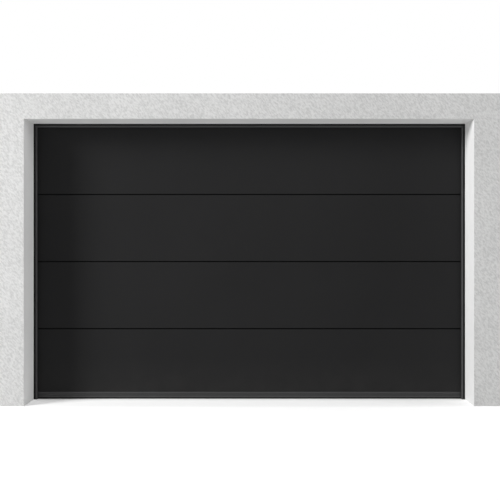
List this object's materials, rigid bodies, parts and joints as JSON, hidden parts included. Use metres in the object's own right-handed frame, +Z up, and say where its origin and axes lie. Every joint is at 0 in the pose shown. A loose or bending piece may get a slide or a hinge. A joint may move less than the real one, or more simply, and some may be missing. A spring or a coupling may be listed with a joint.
{
  "type": "sectional garage door",
  "caption": "Closed black sectional garage door of flat horizontal sections in its rendered masonry opening, with frame, tracks, torsion springs, drums and cables behind.",
  "frame": {"origin": "on the floor at the bottom seal's underside, under the middle of the leaf's thickness and of the opening's width", "axes": "+X to the right as seen from outside, +Y into the garage, +Z up"},
  "size_m": [4.08, 2.944, 2.504],
  "materials": {
    "masonry_render": "matte",
    "leaf_black": "satin",
    "frame_black": "satin",
    "rail_grey": "satin",
    "black_rubber": "matte",
    "zinc_sheet": "satin",
    "bright_steel": "satin",
    "spring_steel": "satin",
    "cast_aluminium": "satin",
    "nylon": "satin",
    "cable_steel": "satin"
  },
  "bodies": {
    "root": {"left_pier": "masonry_render", "right_pier": "masonry_render", "lintel": "masonry_render", "frame_post_left": "frame_black", "frame_post_right": "frame_black", "frame_head": "frame_black", "opening_gasket": "black_rubber", "side_lips": "black_rubber", "head_lip": "black_rubber", "bottom_section": "leaf_black", "lower_middle_section": "leaf_black", "upper_middle_section": "leaf_black", "top_section": "leaf_black", "end_caps": "zinc_sheet", "bottom_rail": "rail_grey", "bottom_seal": "black_rubber", "hinge_lower_leaves": "zinc_sheet", "hinge_upper_leaves": "zinc_sheet", "hinge_pins": "bright_steel", "vertical_track_right": "zinc_sheet", "vertical_track_left": "zinc_sheet", "curved_track_right": "zinc_sheet", "curved_track_left": "zinc_sheet", "horizontal_track_right": "zinc_sheet", "horizontal_track_left": "zinc_sheet", "track_brackets": "zinc_sheet", "track_angles": "zinc_sheet", "rollers": "nylon", "roller_stems": "bright_steel", "roller_carriers": "zinc_sheet", "bottom_brackets": "zinc_sheet", "top_brackets": "zinc_sheet", "torsion_shaft": "zinc_sheet", "shaft_bearings": "bright_steel", "end_bearing_plates": "zinc_sheet", "centre_bearing_plate": "zinc_sheet", "stationary_cones": "cast_aluminium", "winding_cones": "cast_aluminium", "torsion_spring_right": "spring_steel", "torsion_spring_left": "spring_steel", "cable_drum_right": "cast_aluminium", "cable_drum_left": "cast_aluminium", "lift_cables": "cable_steel", "rear_hanger_right": "zinc_sheet", "rear_hanger_left": "zinc_sheet", "rear_crossbar": "zinc_sheet", "track_buffers": "black_rubber"}
  },
  "joints": []
}
